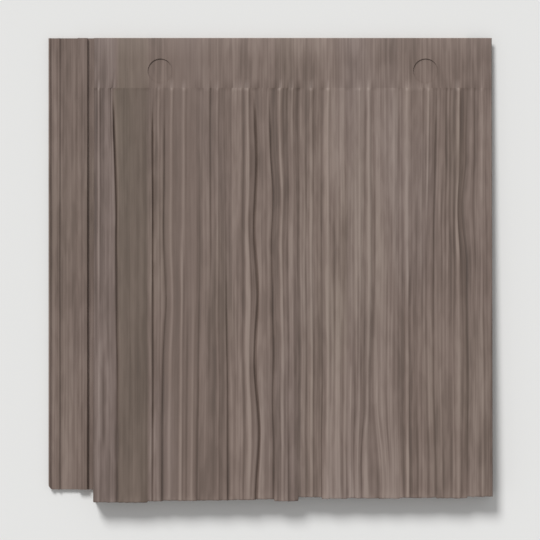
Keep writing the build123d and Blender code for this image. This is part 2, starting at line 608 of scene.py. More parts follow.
    def lean(self, across: np.ndarray, along: np.ndarray) -> np.ndarray:
        """How far the grain leans sideways at each place.

        Args:
            across: Distances from the tab's left edge, one for each column.
            along: Distances from the butt, one for each row.

        Returns:
            Sideways shifts, rows by columns, 0 at both edges of the tab.
        """
        still = np.zeros_like(along)
        edges = np.array([0.0] + [split.share for split in self.splits] + [1.0]) * self.width
        wander = np.array([still] + [self._wander(split, along) for split in self.splits] + [still])
        marks, shifts = [edges], [wander]
        for part in self.straighter_at:
            marks.append(edges[:-1] + part * np.diff(edges))
            shifts.append(self.straighter_by * (wander[:-1] + part * np.diff(wander, axis=0)))
        order = np.argsort(np.concatenate(marks))
        places, table = np.concatenate(marks)[order], np.concatenate(shifts)[order]
        lean = np.array([np.interp(across, places, table[:, row]) for row in range(len(along))])
        u, v = across[None, :], along[:, None]
        inside = smooth_step(u, 0.0, self.straight_edge)
        inside = inside * smooth_step(self.width - u, 0.0, self.straight_edge)
        lean += self.wave.at(u, v) * inside
        from_middle = u - self.flame_share * self.width
        aside = np.tanh(from_middle / self.flame_core) * np.exp(-((from_middle / self.flame_width) ** 2))
        return lean + self.flame_push * aside * (1 - smooth_step(v, self.flame_open, self.flame_apex))

    def relief(self, across: np.ndarray, along: np.ndarray) -> tuple[np.ndarray, np.ndarray]:
        """Height of the riven face over the plain tapered face, before its fine grain.

        Args:
            across: Distances from the tab's left edge, one for each column.
            along: Distances from the butt, one for each row.

        Returns:
            Heights, and how much the crest limit has worn off, both rows by columns.
        """
        u, v = across[None, :], along[:, None]
        _, which, inside = self._strand_places(across)
        fade = 1 + (self.crown_fade - 1) * np.clip(v / self.length, 0, 1)
        crown = np.array([strand.crown for strand in self.strands])[which]
        tilt = np.array([strand.tilt for strand in self.strands])[which]
        profile = (crown + self.valley) * np.sin(np.pi * inside) ** self.crown_power - self.valley
        relief = (profile + tilt * (inside - 0.5))[None, :] * fade
        relief += self.swell.at(u, v)
        relief += self._strips(across, v) * (1 - self.calm(across))
        for line in self.lines:
            relief += self._line(line, u, v)
        worn_off = np.maximum(relief - self.crest_limit, 0.0)
        relief -= worn_off
        for split in self.splits:
            relief -= self._groove(split, u, v)
        return relief, worn_off

    def tone(self, across: np.ndarray) -> np.ndarray:
        """How light each column's strand is."""
        return self._eased(across, [strand.tone for strand in self.strands])

    def tint(self, across: np.ndarray) -> np.ndarray:
        """How lavender or olive each column's strand is."""
        return self._eased(across, [strand.tint for strand in self.strands])

    def calm(self, across: np.ndarray) -> np.ndarray:
        """How calm the fine grain of each column's strand is."""
        return self._eased(across, [strand.calm for strand in self.strands])

    def set_back(self, across: np.ndarray) -> np.ndarray:
        """How far the butt is set back from the longest strand's.

        Args:
            across: Distances from the tab's left edge, one for each column.

        Returns:
            Set-backs, one for each column.
        """
        _, which, _ = self._strand_places(across)
        steps = np.array([strand.set_back for strand in self.strands])[which]
        still = np.zeros_like(across)
        for nibble in self.nibbles:
            steps = steps + np.abs(nibble.at(across, still))
        return steps

    def _wander(self, split: Split, along: np.ndarray) -> np.ndarray:
        """How far one split has wandered sideways, eased from one given place to the next.

        Args:
            split: The split.
            along: Distances from the butt, one for each row.

        Returns:
            Sideways shifts, one for each row.
        """
        steps = len(split.wander) - 1
        place = np.clip(along / (split.reach * self.length), 0, 1) * steps
        before = np.minimum(place.astype(int), steps - 1)
        wander = np.array(split.wander)
        return wander[before] + (wander[before + 1] - wander[before]) * smooth_step(place - before, 0.0, 1.0)

    def _strand_places(self, across: np.ndarray) -> tuple[np.ndarray, np.ndarray, np.ndarray]:
        """Finds each column's strand.

        Args:
            across: Distances from the tab's left edge, one for each column.

        Returns:
            Where the strands start, which strand each column is in, and how far across it that is.
        """
        starts = np.array([0.0] + [strand.ends_at for strand in self.strands])
        share = across / self.width
        which = np.clip(np.searchsorted(starts, share, side="right") - 1, 0, len(self.strands) - 1)
        inside = (share - starts[which]) / (starts[which + 1] - starts[which])
        return starts, which, np.clip(inside, 0.0, 1.0)

    def _eased(self, across: np.ndarray, numbers: list[float]) -> np.ndarray:
        """Eases one number for each strand over from one strand to the next.

        Args:
            across: Distances from the tab's left edge, one for each column.
            numbers: One number for each strand.

        Returns:
            One number for each column.
        """
        _, which, _ = self._strand_places(across)
        ease = np.hanning(2 * self.ease_columns + 1)
        padded = np.pad(np.array(numbers)[which], self.ease_columns, mode="edge")
        return np.convolve(padded, ease / ease.sum(), mode="valid")

    def _strips(self, across: np.ndarray, v: np.ndarray) -> np.ndarray:
        """Levels of the narrow strips that the face has splintered into, with crisp edges between them.

        Args:
            across: Distances from the tab's left edge, one for each column.
            v: Distances from the butt, as a column.

        Returns:
            Heights, rows by columns.
        """
        enough = int(self.width / self.strip_widths[0])
        widths = np.random.default_rng(self.strip_seed).uniform(*self.strip_widths, enough)
        which = np.searchsorted(np.cumsum(widths), across).astype(float)
        level = self.strip_level * sum(change.at(which[None, :], v) for change in self.strip_changes)
        return (np.roll(level, 1, axis=1) + 2 * level + np.roll(level, -1, axis=1)) / 4

    def _line(self, line: Line, u: np.ndarray, v: np.ndarray) -> np.ndarray:
        """Shapes one ridge or furrow.

        Args:
            line: The ridge or furrow.
            u: Distances from the tab's left edge, as a row.
            v: Distances from the butt, as a column.

        Returns:
            Its height at each place, below 0 for a furrow.
        """
        away = np.clip(np.abs(u - line.share * self.width) / (line.width / 2), 0, 1)
        run = v / self.length
        outer, inner = self.line_ease
        begin = smooth_step(run, line.start - outer, line.start + inner) if line.start > 0 else 1.0
        finish = 1 - smooth_step(run, line.end - inner, line.end + outer) if line.end < 1 else 1.0
        own_row = np.full_like(v, line.share * self.line_rows)
        strength = self.line_strength + self.line_change.at(own_row, v)
        return line.rise * strength * begin * finish * (1 - away**2) ** 2

    def _groove(self, split: Split, u: np.ndarray, v: np.ndarray) -> np.ndarray:
        """Shapes one split.

        Args:
            split: The split.
            u: Distances from the tab's left edge, as a row.
            v: Distances from the butt, as a column.

        Returns:
            Its depth at each place.
        """
        run = v / self.length
        tip = 1 - smooth_step(run, split.reach - self.split_tip, split.reach)
        strength = np.interp(run, self.split_strength_at, split.strength)
        own_row = np.full_like(v, split.share * self.split_rows)
        swell = 1 + self.split_swell.at(own_row, v)
        narrowing = self.split_tip_width + (1 - self.split_tip_width) * tip
        away = np.abs(u - split.share * self.width) / (0.5 * split.width * narrowing * swell)
        return split.depth * tip * strength * np.clip(self.split_edge - away, 0, 1)


def keep_numbers(target: MeshObject, name: str, values: np.ndarray) -> None:
    """Keeps one number for each point of a mesh, as an attribute of that name."""
    attribute = target.data.attributes.get(name) or target.data.attributes.new(name, "FLOAT", "POINT")
    attribute.data.foreach_set("value", np.asarray(values, np.float32).ravel())


def point_places(target: MeshObject) -> np.ndarray:
    """Reads a mesh's points.

    Args:
        target: The object whose mesh is read.

    Returns:
        The points in millimetres, one row each.
    """
    places = np.empty(len(target.data.vertices) * 3)
    target.data.vertices.foreach_get("co", places)
    return places.reshape(-1, 3) / MM


@dataclass
class RivenBlank:
    """The tapered tab before its back is cored out: riven face, uneven butt and plain sides.

    Butt rows are distances from the butt, nail zone rows from the face's end and head rows from the head.
    """

    sizes: ShingleSizes
    columns: int = 641
    row_step: float = 2.85
    butt_rows: tuple[float, ...] = (0.0, 0.3, 0.8, 1.8)
    body_start: float = 3.6
    body_margin: float = 0.5
    nail_zone_rows: tuple[float, ...] = (0.0, 0.7, 8.0, 22.0)
    head_rows: tuple[float, ...] = (0.7, 0.25, 0.0)
    grain_end: float = 0.7
    comb_inset: Pair = (0.2, 1.2)
    comb_start: Pair = (-0.6, 0.8)
    edge_radius: float = 0.7
    butt_blend: float = 60.0
    wall_levels: tuple[float, ...] = (0.07, 0.2, 0.38, 0.6, 0.82, 1.0)
    wall_middle: float = 0.5
    butt_striations: tuple[Ripple, ...] = (Ripple(0.6, (1.6, 16.0), 41), Ripple(0.35, (6.5, 4.0), 42))
    side_striation: Ripple = Ripple(0.5, (70.0, 2.4), 43)
    butt_roughness: float = 0.36
    side_roughness: float = 0.12
    # tone_reach, tone_step and tone_range set the painted shade in furrows and splits and the painted
    # highlight on ridges, taken from the relief.
    tone_reach: int = 9
    tone_step: float = 0.60
    tone_range: Pair = (-1.3, 1.7)
    nail_zone_tone: float = 0.3
    # The arris numbers make the face lighter in a narrow band along the butt edge, varied along it.
    arris_tone: float = 0.8
    arris_depth: float = 4.0
    arris_least: float = 0.6
    arris_variation: Ripple = Ripple(0.8, (1.7, 5.0), 40)

    def __post_init__(self) -> None:
        """Lays out the grain for this tab."""
        self.grain = RivenGrain(self.sizes.tab_width, self.sizes.face_length)

    def rows(self) -> np.ndarray:
        """Places the rows, close together where the face turns over an edge.

        Returns:
            Distances from the butt.
        """
        face, length = self.sizes.face_length, self.sizes.length
        body = np.arange(self.body_start, face - self.body_margin, self.row_step)
        nail_zone = face + np.array(self.nail_zone_rows)
        return np.concatenate([self.butt_rows, body, nail_zone, length - np.array(self.head_rows)])

    def build(self, comb: CombedGrain, face: Material, back: Material) -> MeshObject:
        """Builds the closed blank.

        Args:
            comb: The fine grain that is pressed into it.
            face: What its face, butt and sides are finished with.
            back: What its underside is finished with.

        Returns:
            The blank, which carries the lean, comb, tone, tint and calm numbers.
        """
        sizes, width = self.sizes, self.sizes.tab_width
        across, along = np.linspace(0, width, self.columns), self.rows()
        u, v = np.meshgrid(across, along)
        textured = 1 - smooth_step(v, sizes.face_length, sizes.face_length + self.grain_end)
        lean = self.grain.lean(across, along) * textured
        blend = np.clip(1 - v / self.butt_blend, 0, 1)
        x = sizes.left + u + lean
        y = sizes.butt + v + self.grain.set_back(across)[None, :] * blend
        plain = sizes.height(y) - self._edge_drop(v) - self._edge_drop(sizes.length - v)
        plain -= self._edge_drop(u) + self._edge_drop(width - u)
        relief, worn_off = self.grain.relief(across, along)
        z = plain + relief * textured
        top = np.stack([x, y, z], axis=-1).reshape(-1, 3)
        points, faces = self._close(top, *x.shape)
        blank = new_object("shingle_moulding", points, faces, face)
        blank.data.materials.append(back)
        blank.data.polygons[len(faces) - 1].material_index = 1
        below = np.zeros(len(points) - x.size)
        inside = smooth_step(np.minimum(u, width - u), *self.comb_inset)
        combed = textured * inside * smooth_step(v, *self.comb_start) * (1 - self.grain.calm(across))
        keep_numbers(blank, LEAN, np.append(lean.ravel() * MM, below))
        keep_numbers(blank, COMB, np.append(combed.ravel(), below))
        comb.press(blank, face)
        pressed = point_places(blank)[: x.size, 2].reshape(x.shape)
        # The tone is partly the grain's own colour and partly painted shade in furrows and splits and painted
        # highlight on ridges.
        tone = self._tone(pressed - plain + worn_off * textured, across, v, textured)
        keep_numbers(blank, TONE, np.append(tone.ravel(), below))
        for name, numbers in ((TINT, self.grain.tint(across)), (CALM, self.grain.calm(across))):
            keep_numbers(blank, name, np.append(np.broadcast_to(numbers, x.shape).ravel(), below))
        return blank

    def _tone(
        self, relief: np.ndarray, across: np.ndarray, v: np.ndarray, textured: np.ndarray
    ) -> np.ndarray:
        """How light or dark each place of the face is: lighter on ridges and darker in furrows and splits,
        partly the grain's own colour and partly painted highlight and painted shade, plus each strand's own
        tone and a lighter band along the butt edge.

        Args:
            relief: Height over the plain face before the crests wore flat, rows by columns.
            across: Distances from the tab's left edge, one for each column.
            v: Distance from the butt at each place.
            textured: 1 on the grained face, 0 in the nail zone.

        Returns:
            Tones, 0 being the plain colour.
        """
        reach = self.tone_reach
        sums = np.cumsum(np.pad(relief, ((0, 0), (reach + 1, reach)), mode="edge"), axis=1)
        around = (sums[:, 2 * reach + 1 :] - sums[:, : -2 * reach - 1]) / (2 * reach + 1)
        # Painted shade and highlight: relief below its neighbours is painted darker, as in furrows and
        # splits, and relief above them lighter, as on ridges.
        local = np.clip((relief - around) / self.tone_step, *self.tone_range)
        # A lighter band along the butt edge, fading up the slope and varied along it.
        butt_edge_lift = self.arris_tone * np.exp(-v / self.arris_depth)
        butt_edge_lift *= self.arris_least + self.arris_variation.at(across[None, :], v)
        tone = local + self.grain.tone(across)[None, :] + butt_edge_lift
        return tone * (self.nail_zone_tone + (1 - self.nail_zone_tone) * textured)

    def _edge_drop(self, distance: np.ndarray) -> np.ndarray:
        """How far a rounded edge falls at each distance from it."""
        inside = self.edge_radius - np.clip(distance, 0, self.edge_radius)
        return self.edge_radius - np.sqrt(self.edge_radius**2 - inside**2)

    def _close(self, top: np.ndarray, rows: int, columns: int) -> tuple[np.ndarray, list]:
        """Adds the walls and the flat bottom under a grid of face points.

        Args:
            top: The face points, row by row from the butt.
            rows: How many rows there are.
            columns: How many points each row has.

        Returns:
            All the points, and all the faces with the bottom as the last.
        """
        number = np.arange(rows * columns).reshape(rows, columns)
        quads = np.stack([number[:-1, :-1], number[:-1, 1:], number[1:, 1:], number[1:, :-1]], axis=-1)
        faces = quads.reshape(-1, 4).tolist()
        sides = [number[0, :-1], number[:-1, -1], number[-1, :0:-1], number[:0:-1, 0]]
        ring = np.concatenate(sides)
        ways = ((0, 1), (-1, 0), (0, -1), (1, 0))
        inward = np.concatenate([np.tile(way, (len(side), 1)) for side, way in zip(sides, ways)])
        corners = np.cumsum([0] + [len(side) for side in sides[:-1]])
        inward[corners] = 0
        points, last = [top], ring
        rim = top[ring]
        for level in self.wall_levels:
            depth = rim[:, 2] * level
            in_by = self._wall_relief(rim, inward, rim[:, 2] - depth)
            points.append(np.column_stack([rim[:, :2] + inward * in_by[:, None], rim[:, 2] - depth]))
            current = last.max() + 1 + np.arange(len(ring))
            turned = np.stack([last, current, np.roll(current, -1), np.roll(last, -1)], axis=-1)
            faces += turned.tolist()
            last = current
        faces.append(last[::-1].tolist())
        return np.concatenate(points), faces

    def _wall_relief(self, rim: np.ndarray, inward: np.ndarray, z: np.ndarray) -> np.ndarray:
        """How far each wall point lies in: upright striations on the butt, long ones on the sides.

        Args:
            rim: The wall's upper points.
            inward: Which way is in, for each of them.
            z: The height of each point of this level.

        Returns:
            Depths, 0 or more.
        """
        upright = self.wall_middle
        for striation in self.butt_striations:
            upright = upright + striation.at(rim[:, 0], z)
        lengthwise = self.wall_middle + self.side_striation.at(rim[:, 1], z)
        on_butt = inward[:, 1] > 0
        depth = np.where(on_butt, self.butt_roughness * upright, self.side_roughness * lengthwise)
        return np.maximum(depth, 0.0)


@dataclass
class RibbedBack:
    """The cored-out back: pockets between ribs, the neighbour's lap recess and bosses under the nails."""

    sizes: ShingleSizes
    deepest_set_back: float
    draft: float = 0.35
    core_foot: float = -2.0
    box_height: float = 2.0
    core_overrun: float = 5.0
    boss_overlap: float = 1.0
    target_overrun: float = 4.0
    disc_sides: int = 96

    def __post_init__(self) -> None:
        """Builds the pocket tree: a drafted box at each point of a grid, its top following the taper."""
        tree = TreeBuilder("RibPockets")
        columns, rows = tree.add_inputs("Int", "Columns", "Rows")
        width, length = tree.add_inputs("Float", "Grid width", "Grid length")
        pocket, middle = tree.add_inputs("Vector", "Pocket size", "Grid middle")
        ceiling, fall = tree.add_inputs("Float", "Ceiling at middle", "Ceiling fall")
        foot, draft = tree.add_inputs("Float", "Foot", "Draft")
        material = tree.add_input("Material", "Material")
        spans = {"Size X": width, "Size Y": length, "Vertices X": columns, "Vertices Y": rows}
        grid = tree.node("GeometryNodeMeshGrid", spans)
        box = self._drafted(tree, tree.node("GeometryNodeMeshCube", {"Size": pocket}), draft)
        placed = tree.node("GeometryNodeInstanceOnPoints", {"Points": grid.outputs[0], "Instance": box})
        realized = tree.node("GeometryNodeRealizeInstances", {0: placed.outputs[0]})
        place = tree.place()
        is_top = tree.maths("GREATER_THAN", place["Z"], 0.0)
        top = tree.maths("SUBTRACT", ceiling, tree.maths("MULTIPLY", place["Y"], fall))
        height = tree.maths("MULTIPLY_ADD", is_top, tree.maths("SUBTRACT", top, foot), foot)
        lifted = tree.shifted(realized.outputs[0], {"Z": tree.maths("SUBTRACT", height, place["Z"])})
        moved = tree.node("GeometryNodeTransform", {"Geometry": lifted, "Translation": middle})
        tree.finish(moved.outputs[0], material)
        self.tree = tree

    @property
    def nail_line(self) -> float:
        """Y of the nail targets."""
        return self.sizes.butt + self.sizes.exposure + self.sizes.nail_above_exposure

    @staticmethod
    def _drafted(tree: TreeBuilder, box: bpy.types.Node, draft: Socket) -> Socket:
        """Draws the upper corners of a box inwards, so that the ribs are thicker at their roots.

        Args:
            tree: The tree that the box is in.
            box: The box.
            draft: How far each corner is drawn in.

        Returns:
            The drafted box.
        """
        place = tree.place()
        is_top = tree.maths("GREATER_THAN", place["Z"], 0.0)
        pull = tree.maths("MULTIPLY", tree.maths("MULTIPLY", draft, is_top), -1.0)
        pulls = {a: tree.maths("MULTIPLY", tree.maths("SIGN", place[a]), pull) for a in ("X", "Y")}
        return tree.shifted(box.outputs[0], pulls)

    def core_out(self, blank: MeshObject, face: Material, back: Material) -> None:
        """Cuts the back out of the blank, and adds the nail bosses and their targets.

        Args:
            blank: The closed blank.
            face: What the nail targets are finished with.
            back: What the cut surfaces of the back are finished with.
        """
        sizes = self.sizes
        y_span = (sizes.butt + self.deepest_set_back + sizes.butt_wall, sizes.head - sizes.head_wall)
        register = sizes.right - sizes.lap_width
        main_span = (sizes.left + sizes.side_wall, register - sizes.side_wall)
        lap_span = (register, sizes.right - sizes.side_wall)
        main_columns = round((main_span[1] - main_span[0]) / sizes.rib_pitch)
        combine(blank, self._pockets("main_cores", main_span, y_span, main_columns, back), Operation.CUT)
        combine(blank, self._pockets("lap_cores", lap_span, y_span, sizes.lap_columns, back), Operation.CUT)
        combine(blank, self._recess(register, back), Operation.CUT)
        surface = float(sizes.height(self.nail_line))
        for x in (sizes.left + sizes.nail_from_edge, sizes.right - sizes.nail_from_edge):
            boss_top = surface - sizes.skin + self.boss_overlap
            boss = self._disc("boss", x, sizes.nail_boss_diameter, 0.0, boss_top, back)
            combine(blank, boss, Operation.JOIN)
            target_floor = surface - sizes.nail_target_depth
            target_top = surface + self.target_overrun
            target = self._disc("target", x, sizes.nail_target_diameter, target_floor, target_top, face)
            combine(blank, target, Operation.CUT)

    def _pockets(self, name: str, x_span: Pair, y_span: Pair, columns: int, material: Material) -> MeshObject:
        """Makes the cores of one field of pockets.

        Args:
            name: The object's name.
            x_span: From wall to wall across the roof.
            y_span: From wall to wall up the slope.
            columns: Pockets across.
            material: What the pockets' walls are finished with.

        Returns:
            The cores, as one mesh of separate boxes.
        """
        sizes, rib = self.sizes, self.sizes.rib_thickness
        rows = round((y_span[1] - y_span[0]) / sizes.rib_pitch)
        pitch_x = (x_span[1] - x_span[0] + rib) / columns
        pitch_y = (y_span[1] - y_span[0] + rib) / rows
        middle = (sum(x_span) / 2, sum(y_span) / 2)
        values = {
            "Columns": columns,
            "Rows": rows,
            "Grid width": pitch_x * (columns - 1) * MM,
            "Grid length": pitch_y * (rows - 1) * MM,
            "Pocket size": ((pitch_x - rib) * MM, (pitch_y - rib) * MM, self.box_height * MM),
            "Grid middle": (middle[0] * MM, middle[1] * MM, 0.0),
            "Ceiling at middle": (float(sizes.height(middle[1])) - sizes.skin) * MM,
            "Ceiling fall": sizes.slope,
            "Foot": self.core_foot * MM,
            "Draft": self.draft * MM,
            "Material": material,
        }
        cores = new_object(name, np.zeros((1, 3)), [], None)
        self.tree.use_on(cores, values)
        return cores

    def _recess(self, register: float, material: Material) -> MeshObject:
        """Makes the core of the recess that the neighbour's wing lies in.

        Args:
            register: X of the wall that the recess starts from.
            material: What the recess is finished with.

        Returns:
            The core, which runs past the right edge and the head.
        """
        sizes, beyond = self.sizes, self.core_overrun
        low = np.array([register, sizes.butt + sizes.lap_setback, self.core_foot])
        high = np.array([sizes.right + beyond, sizes.head + beyond, sizes.lap_height])
        corners = np.array([[x, y, z] for z in (0, 1) for y in (0, 1) for x in (0, 1)], float)
        faces = [[0, 2, 3, 1], [4, 5, 7, 6], [0, 1, 5, 4], [2, 6, 7, 3], [0, 4, 6, 2], [1, 3, 7, 5]]
        return new_object("recess_core", low + corners * (high - low), faces, material)

    def _disc(
        self, name: str, x: float, diameter: float, low: float, high: float, material: Material
    ) -> MeshObject:
        """Makes a round core or boss on the nail line, whose ends follow the face or stand on the ground.

        Args:
            name: The object's name.
            x: Its middle across the roof.
            diameter: Its diameter.
            low: Height of its lower end on the nail line.
            high: Height of its upper end on the nail line.
            material: What it is finished with.

        Returns:
            The closed disc.
        """
        count = self.disc_sides
        turns = np.linspace(0, 2 * np.pi, count, endpoint=False)
        circle = np.column_stack([np.cos(turns), np.sin(turns)]) * diameter / 2
        rim = np.array([x, self.nail_line]) + circle
        fall = -self.sizes.slope * (rim[:, 1] - self.nail_line)
        bottom = np.column_stack([rim, low + fall * (low > 0)])
        top = np.column_stack([rim, high + fall])
        faces = [[i, (i + 1) % count, count + (i + 1) % count, count + i] for i in range(count)]
        faces += [list(range(count))[::-1], list(range(count, 2 * count))]
        return new_object(name, np.concatenate([bottom, top]), faces, material)


@dataclass
class SideWing:
    """The thin wing that drains the keyway: two dams, a gutter, a grained pad and a root groove."""

    sizes: ShingleSizes
    crest_radius: float = 0.6
    root: float = 1.4
    station_step: float = 3.0
    head_margin: float = 1.0
    corner_stations: int = 7
    pad_points: int = 13
    dam_points: int = 3
    gutter_points: int = 5
    shoulder_points: int = 4
    pad_comb: float = 1.2
    pad_edge: float = 0.2

    def section(self) -> np.ndarray:
        """Draws the wing's outline across the roof, starting with its underside.

        Returns:
            X and Z of its points.
        """
        sizes = self.sizes
        wing, root = float(sizes.low[0]), sizes.left + self.root
        pad_right = sizes.left - sizes.root_groove
        gutter_left = wing + sizes.dam_width + sizes.dam_spacing
        gutter = np.linspace(pad_right - sizes.pad_width, gutter_left, self.gutter_points + 2)[1:-1]
        outline = [(wing, 0.0), (root, 0.0), (root, sizes.wing_flange)]
        outline += self._raised(pad_right, sizes.pad_width, sizes.pad_height, self.pad_points)
        outline += [(x, sizes.wing_flange) for x in gutter]
        outline += self._raised(gutter_left, sizes.dam_width, sizes.dam_height, self.dam_points)
        outer_dam = self._raised(wing + sizes.dam_width, sizes.dam_width, sizes.dam_height, self.dam_points)
        return np.array(outline + outer_dam[:-1])

    def build(self, comb: CombedGrain, face: Material, back: Material) -> MeshObject:
        """Builds the closed wing.

        Args:
            comb: The fine grain pressed into the pad.
            face: What the wing's upper side is finished with.
            back: What its underside is finished with.

        Returns:
            The wing, with the lean, comb, tone and tint numbers on its points.
        """
        sizes, corner = self.sizes, self.sizes.wing_corner
        section = self.section()
        start = sizes.butt + sizes.wing_setback
        turned = start + corner * (1 - np.cos(np.linspace(0, np.pi / 2, self.corner_stations)))
        last = sizes.head - self.head_margin
        straight = np.arange(turned[-1] + self.station_step, last, self.station_step)
        stations = np.concatenate([turned, straight, [sizes.head]])
        inset = corner - np.clip(stations - start, 0, corner)
        edge = float(sizes.low[0]) + corner - np.sqrt(corner**2 - inset**2)
        x = np.maximum(section[None, :, 0], edge[:, None])
        y = np.broadcast_to(stations[:, None], x.shape)
        z = np.broadcast_to(section[None, :, 1], x.shape)
        points = np.stack([x, y, z], axis=-1).reshape(-1, 3)
        number = np.arange(len(points)).reshape(x.shape)
        ahead = np.roll(number, -1, axis=1)
        walls = np.stack([number[:-1], ahead[:-1], ahead[1:], number[1:]], axis=-1)
        faces = walls.reshape(-1, 4).tolist() + [number[0][::-1].tolist(), number[-1].tolist()]
        wing = new_object("side_wing", points, faces, face)
        wing.data.materials.append(back)
        for row in range(len(stations) - 1):
            wing.data.polygons[row * len(section)].material_index = 1
        on_pad = points[:, 2] > sizes.pad_height - self.pad_edge
        keep_numbers(wing, COMB, on_pad * self.pad_comb)
        for name in (LEAN, TONE, TINT):
            keep_numbers(wing, name, np.zeros(len(points)))
        comb.press(wing, face)
        return wing

    def _raised(self, right: float, width: float, top: float, points: int) -> list[Pair]:
        """Gives a raised strip with rounded shoulders, from its right foot to its left foot.

        Args:
            right: X of its right side.
            width: Its width.
            top: Height of its top.
            points: Points across its flat top, both shoulders' last ones included.

        Returns:
            X and Z of its points.
        """
        radius, base = self.crest_radius, self.sizes.wing_flange
        turn = np.linspace(0, np.pi / 2, self.shoulder_points)
        shoulder = [(right - radius + radius * np.cos(a), top - radius + radius * np.sin(a)) for a in turn]
        flat = [(x, top) for x in np.linspace(right - radius, right - width + radius, points)[1:-1]]
        mirrored = [(2 * right - width - x, z) for x, z in reversed(shoulder)]
        return [(right, base)] + shoulder + flat + mirrored + [(right - width, base)]


@dataclass(frozen=True)
class Pattern:
    """Noise on a finish: features to the metre, scale of each axis, finer layers, and a shift of its own."""

    scale: float
    stretch: Triple = (1.0, 1.0, 1.0)
    detail: float = 1.0
    shift: float = 0.0


@dataclass(frozen=True)
class Streaks:
    """One layer of streaks: its noise, the noise values that are spread out, and its strength in tones."""

    pattern: Pattern
    spread: Pair
    strength: float


class MaterialBuilder(NodeBuilder):
    """A material, built round its Principled shader."""

    SHIFT_SLANT = 0.7
    MIX_INPUTS = (0, 6, 7)
    MIX_COLOUR = 2

    def __init__(self, name: str) -> None:
        """Starts a material.

        Args:
            name: The material's name.
        """
        self.material = bpy.data.materials.new(name)
        self.material.use_nodes = True
        super().__init__(self.material.node_tree)
        self.shader = self.tree.nodes["Principled BSDF"]
        self.place = self.node("ShaderNodeTexCoord").outputs["Object"]

    def number(self, name: str) -> Socket:
        """Reads a number kept on the mesh's points."""
        return self.node("ShaderNodeAttribute", attribute_name=name).outputs["Fac"]

    def dress(self, colour: Socket, roughness: float) -> None:
        """Gives the shader its colour and its roughness."""
        self.tree.links.new(colour, self.shader.inputs["Base Color"])
        self.shader.inputs["Roughness"].default_value = roughness

    def noise(self, pattern: Pattern, place: Socket | None = None) -> Socket:
        """Adds noise that is drawn out along an axis where its stretch is below 1.

        Args:
            pattern: Its scale, stretch, detail and shift.
            place: Coordinates, or None for the object's own.

        Returns:
            The noise, about 0.5 on average.
        """
        aside = (pattern.shift, pattern.shift * self.SHIFT_SLANT, 0.0)
        settings = {"Vector": place or self.place, "Scale": pattern.stretch, "Location": aside}
        mapping = self.node("ShaderNodeMapping", settings)
        links = {"Vector": mapping.outputs[0], "Scale": pattern.scale, "Detail": pattern.detail}
        return self.node("ShaderNodeTexNoise", links).outputs["Fac"]

    def spread(self, value: Socket, values: Pair, results: Pair = (0.0, 1.0)) -> Socket:
        """Spreads a range of values smoothly over a range of results.

        Args:
            value: What is spread.
            values: The values at which the results start and end.
            results: The first and the last result.

        Returns:
            The results.
        """
        links = {"Value": value}
        names = ("From Min", "From Max", "To Min", "To Max")
        links.update(zip(names, (*values, *results)))
        return self.node("ShaderNodeMapRange", links, interpolation_type="SMOOTHSTEP").outputs["Result"]

    def mix(self, factor: object, first: object, second: object, blend: str = "MIX") -> Socket:
        """Mixes or blends two colours.

        Args:
            factor: How much of the second is used, as a socket or a number.
            first: The first colour, as a socket or three numbers.
            second: The second colour, as a socket or three numbers.
            blend: How they are blended.

        Returns:
            The mixed colour.
        """
        mixed = self.node("ShaderNodeMix", data_type="RGBA", blend_type=blend)
        for number, value in zip(self.MIX_INPUTS, (factor, first, second)):
            if isinstance(value, Socket):
                self.tree.links.new(value, mixed.inputs[number])
            else:
                plain = (*value, 1.0) if isinstance(value, tuple) else value
                mixed.inputs[number].default_value = plain
        return mixed.outputs[self.MIX_COLOUR]

    def bump(self, height: Socket, strength: float, distance: float) -> None:
        """Gives the shader a bump.

        Args:
            height: The bump's height, from 0 to 1.
            strength: How much of it is used.
            distance: Its full height in millimetres.
        """
        links = {"Height": height, "Strength": strength, "Distance": distance * MM}
        bumped = self.node("ShaderNodeBump", links).outputs["Normal"]
        self.tree.links.new(bumped, self.shader.inputs["Normal"])


